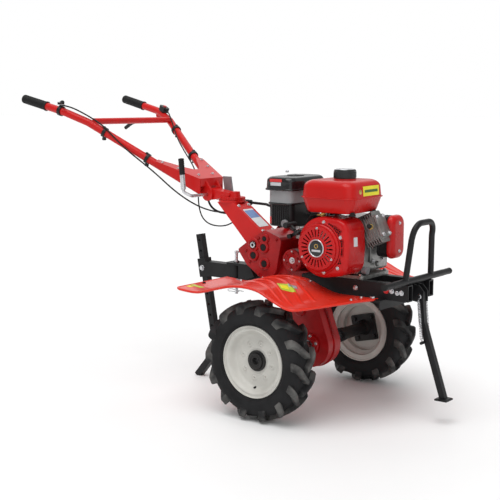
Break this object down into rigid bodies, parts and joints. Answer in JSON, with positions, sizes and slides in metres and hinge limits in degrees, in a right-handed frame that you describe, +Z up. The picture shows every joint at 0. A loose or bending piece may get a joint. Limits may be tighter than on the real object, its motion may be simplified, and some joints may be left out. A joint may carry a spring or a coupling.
{
  "type": "mini cultivator",
  "caption": "Walk-behind two-wheeled cultivator with petrol engine, belt-driven gear case, lugged farm tyres, mudguards, front stand, drag stake and V-shaped handlebar.",
  "frame": {"origin": "centre of the bounding box in X and Y, on the ground under the tyres", "axes": "+X forwards, along the length; +Y to the operator's left; +Z up"},
  "size_m": [1.711, 0.794, 1.0667],
  "materials": {
    "red_paint": "glossy bright red enamel",
    "case_paint": "deep red enamel on rough castings",
    "black_frame": "satin black powder coat",
    "rim_paint": "cream white paint",
    "tyre": "matt farm tyre rubber",
    "rubber": "black rubber",
    "steel": "machined steel",
    "zinc": "zinc plated",
    "aluminium": "cast aluminium",
    "cast_iron": "machined cast iron",
    "black_plastic": "black moulded plastic",
    "red_plastic": "red moulded plastic",
    "smoke_plastic": "grey translucent plastic"
  },
  "bodies": {
    "chassis": {"belt_cover": "red_paint", "fender_left": "red_paint", "fender_right": "red_paint", "handle_column": "red_paint", "fan_shroud": "red_paint", "recoil_cover": "red_paint", "fuel_tank": "red_paint", "muffler_guard": "red_paint", "gearcase_right": "case_paint", "gearcase_left": "case_paint", "engine_bed": "black_frame", "bumper": "black_frame", "hitch_bracket": "black_frame", "muffler": "black_frame", "drive_belt": "rubber", "case_plugs": "rubber", "frame_bolts": "zinc", "crankcase": "aluminium", "cylinder_head": "aluminium", "carburettor": "aluminium", "air_cleaner_base": "black_plastic", "air_cleaner_cover": "black_plastic", "filter_ring": "smoke_plastic"},
    "drive_wheels": {"axle_shaft": "steel", "final_gear": "steel", "wheel_hubs": "cast_iron", "rim_left": "rim_paint", "rim_right": "rim_paint", "tyre_left": "tyre", "tyre_right": "tyre"},
    "lower_idler": {"idler_gear_lower": "steel"},
    "upper_idler": {"idler_gear_upper": "steel"},
    "output_shaft": {"output_gear": "steel"},
    "input_shaft": {"input_shaft": "steel", "gearbox_pulley": "cast_iron"},
    "lay_shaft": {"lay_gear": "steel"},
    "crankshaft": {"crankshaft": "steel", "engine_pulley": "cast_iron"},
    "tensioner": {"tension_arm": "cast_iron"},
    "stand": {"stand_leg": "black_frame", "stand_springs": "zinc"},
    "drawbar": {"drawbar": "black_frame", "hitch_pins": "zinc"},
    "stake": {"stake": "black_frame"},
    "swivel": {"swivel_head": "red_paint"},
    "lock_lever": {"swivel_lock": "zinc"},
    "handlebar": {"handlebar": "red_paint", "grips": "rubber", "bar_clips": "black_plastic", "switch_box": "black_plastic", "clutch_cable": "rubber", "throttle_cable": "rubber", "switch_wire": "rubber"},
    "clutch_lever": {"clutch_lever": "black_frame"},
    "throttle_lever": {"throttle_lever": "black_plastic"},
    "stop_button": {"stop_button": "red_plastic"},
    "gear_lever": {"gear_lever": "black_plastic"},
    "recoil_handle": {"recoil_handle": "black_plastic"},
    "fuel_cap": {"fuel_cap": "black_plastic"},
    "choke_lever": {"choke_lever": "black_plastic"}
  },
  "joints": [
    {"name": "axle_spin", "type": "hinge", "parent": "chassis", "child": "drive_wheels", "pos_m": [0.3295, 0, 0.2], "axis": [0, 1, 0], "continuous": true},
    {"name": "lower_idler_spin", "type": "hinge", "parent": "chassis", "child": "lower_idler", "pos_m": [0.2895, 0, 0.31948], "axis": [0, 1, 0], "continuous": true},
    {"name": "upper_idler_spin", "type": "hinge", "parent": "chassis", "child": "upper_idler", "pos_m": [0.23731, 0, 0.41745], "axis": [0, 1, 0], "continuous": true},
    {"name": "output_spin", "type": "hinge", "parent": "chassis", "child": "output_shaft", "pos_m": [0.1505, 0, 0.471], "axis": [0, 1, 0], "continuous": true},
    {"name": "input_spin", "type": "hinge", "parent": "chassis", "child": "input_shaft", "pos_m": [0.1465, 0, 0.529], "axis": [0, 1, 0], "continuous": true},
    {"name": "lay_spin", "type": "hinge", "parent": "chassis", "child": "lay_shaft", "pos_m": [0.10192, 0, 0.49679], "axis": [0, 1, 0], "continuous": true},
    {"name": "crank_spin", "type": "hinge", "parent": "chassis", "child": "crankshaft", "pos_m": [0.4615, 0, 0.566], "axis": [0, 1, 0], "continuous": true},
    {"name": "belt_tension", "type": "hinge", "parent": "chassis", "child": "tensioner", "pos_m": [0.2655, 0, 0.492], "axis": [0, 1, 0], "range_deg": [0, 9.5], "stiffness_Nm_per_rad": 1, "springref_deg": -11.46},
    {"name": "stand_fold", "type": "hinge", "parent": "chassis", "child": "stand", "pos_m": [0.7445, 0, 0.412], "axis": [0, 1, 0], "range_deg": [-85, 0]},
    {"name": "drawbar_swing", "type": "hinge", "parent": "chassis", "child": "drawbar", "pos_m": [-0.0245, 0, 0.42], "axis": [0, 0, 1], "range_deg": [-15, 15]},
    {"name": "stake_depth", "type": "slide", "parent": "drawbar", "child": "stake", "axis": [0.1813, 0, -0.9834], "range_m": [0, 0.12]},
    {"name": "handle_swing", "type": "hinge", "parent": "chassis", "child": "swivel", "pos_m": [-0.0435, 0, 0.684], "axis": [0, 0, 1], "range_deg": [-30, 30], "deforming": ["clutch_cable", "throttle_cable", "switch_wire"]},
    {"name": "handle_tilt", "type": "hinge", "parent": "swivel", "child": "handlebar", "pos_m": [-0.1355, 0, 0.7], "axis": [0, 1, 0], "range_deg": [-20, 15], "deforming": ["clutch_cable", "throttle_cable", "switch_wire"]},
    {"name": "lock_turn", "type": "hinge", "parent": "swivel", "child": "lock_lever", "pos_m": [-0.1355, 0, 0.7], "axis": [0, 1, 0], "range_deg": [-60, 0]},
    {"name": "clutch_squeeze", "type": "hinge", "parent": "handlebar", "child": "clutch_lever", "pos_m": [-0.6325, 0.262, 0.968], "axis": [0, 1, 0], "range_deg": [0, 14], "stiffness_Nm_per_rad": 3, "springref_deg": -20.05},
    {"name": "throttle_turn", "type": "hinge", "parent": "handlebar", "child": "throttle_lever", "pos_m": [-0.6605, -0.263, 1.028], "axis": [0, 0, 1], "range_deg": [-35, 35]},
    {"name": "stop_press", "type": "slide", "parent": "handlebar", "child": "stop_button", "axis": [-0.3798, 0, -0.9251], "range_m": [0, 0.0025], "stiffness_N_per_m": 800, "springref_m": -0.002},
    {"name": "gear_shift", "type": "hinge", "parent": "chassis", "child": "gear_lever", "pos_m": [0.1635, 0.05, 0.61], "axis": [0, 1, 0], "range_deg": [-8, 8]},
    {"name": "recoil_pull", "type": "slide", "parent": "chassis", "child": "recoil_handle", "axis": [-0.8, 0, 0.6], "range_m": [0, 0.5], "stiffness_N_per_m": 15, "springref_m": -0.3},
    {"name": "cap_turn", "type": "hinge", "parent": "chassis", "child": "fuel_cap", "pos_m": [0.4845, -0.064, 0.79], "axis": [0, 0, 1], "range_deg": [0, 90]},
    {"name": "choke_turn", "type": "hinge", "parent": "chassis", "child": "choke_lever", "pos_m": [0.3175, -0.09, 0.598], "axis": [0, 1, 0], "range_deg": [0, 45]}
  ],
  "couplings": [
    {"joint": "lower_idler_spin", "follows": "axle_spin", "ratio": -1.1},
    {"joint": "upper_idler_spin", "follows": "axle_spin", "ratio": 1.2941},
    {"joint": "output_spin", "follows": "axle_spin", "ratio": -1.2941},
    {"joint": "lay_spin", "follows": "input_spin", "ratio": -0.57143},
    {"joint": "belt_tension", "follows": "clutch_squeeze", "ratio": 0.64286}
  ]
}
